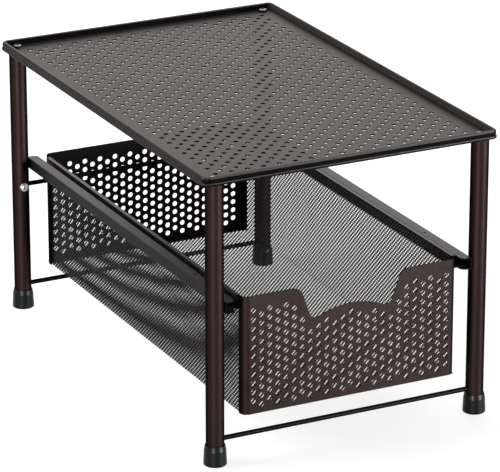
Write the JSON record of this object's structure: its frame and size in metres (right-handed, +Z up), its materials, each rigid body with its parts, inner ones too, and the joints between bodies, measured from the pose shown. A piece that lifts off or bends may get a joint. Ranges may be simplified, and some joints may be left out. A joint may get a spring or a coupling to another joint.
{
  "type": "under sink organizer",
  "caption": "Low metal organizer with a perforated top tray on round legs with rubber feet, and a mesh drawer with perforated ends that slides on side rails.",
  "frame": {"origin": "on the floor, midway between the four feet", "axes": "+X to the right as seen from the drawer's front, +Y to the back, +Z up; the drawer opens along -Y"},
  "size_m": [0.3, 0.4582, 0.2788],
  "materials": {
    "tray_coat": "satin bronze-gray powder coat",
    "rim_coat": "satin near-black bronze powder coat",
    "leg_coat": "satin dark bronze powder coat",
    "drawer_coat": "satin dark bronze powder coat",
    "mesh_coat": "satin dark bronze powder coat",
    "band_coat": "satin dark bronze powder coat",
    "rail_coat": "satin gray-bronze powder coat",
    "rod_coat": "satin black powder coat",
    "zinc": "bright zinc plating",
    "foot_rubber": "matt black rubber",
    "plug_plastic": "matt black moulded plastic"
  },
  "bodies": {
    "frame": {"top_panel": "tray_coat", "top_rim": "rim_coat", "top_screws": "zinc", "leg_plugs": "plug_plastic", "clamp_screws": "zinc", "clamp_washers": "zinc", "front_lower_rod": "rod_coat", "back_lower_rod": "rod_coat", "back_upper_rod": "rod_coat", "leg_front_left": "leg_coat", "foot_front_left": "foot_rubber", "leg_front_right": "leg_coat", "foot_front_right": "foot_rubber", "leg_back_left": "leg_coat", "foot_back_left": "foot_rubber", "leg_back_right": "leg_coat", "foot_back_right": "foot_rubber", "rail_left": "rail_coat", "rail_right": "rail_coat"},
    "drawer": {"drawer_front_panel": "drawer_coat", "drawer_back_panel": "drawer_coat", "floor_mesh": "mesh_coat", "side_mesh_left": "mesh_coat", "side_band_left": "band_coat", "runner_left": "rail_coat", "side_mesh_right": "mesh_coat", "side_band_right": "band_coat", "runner_right": "rail_coat"}
  },
  "joints": [
    {"name": "drawer_slide", "type": "slide", "parent": "frame", "child": "drawer", "axis": [0, -1, 0], "range_m": [0, 0.352]}
  ]
}
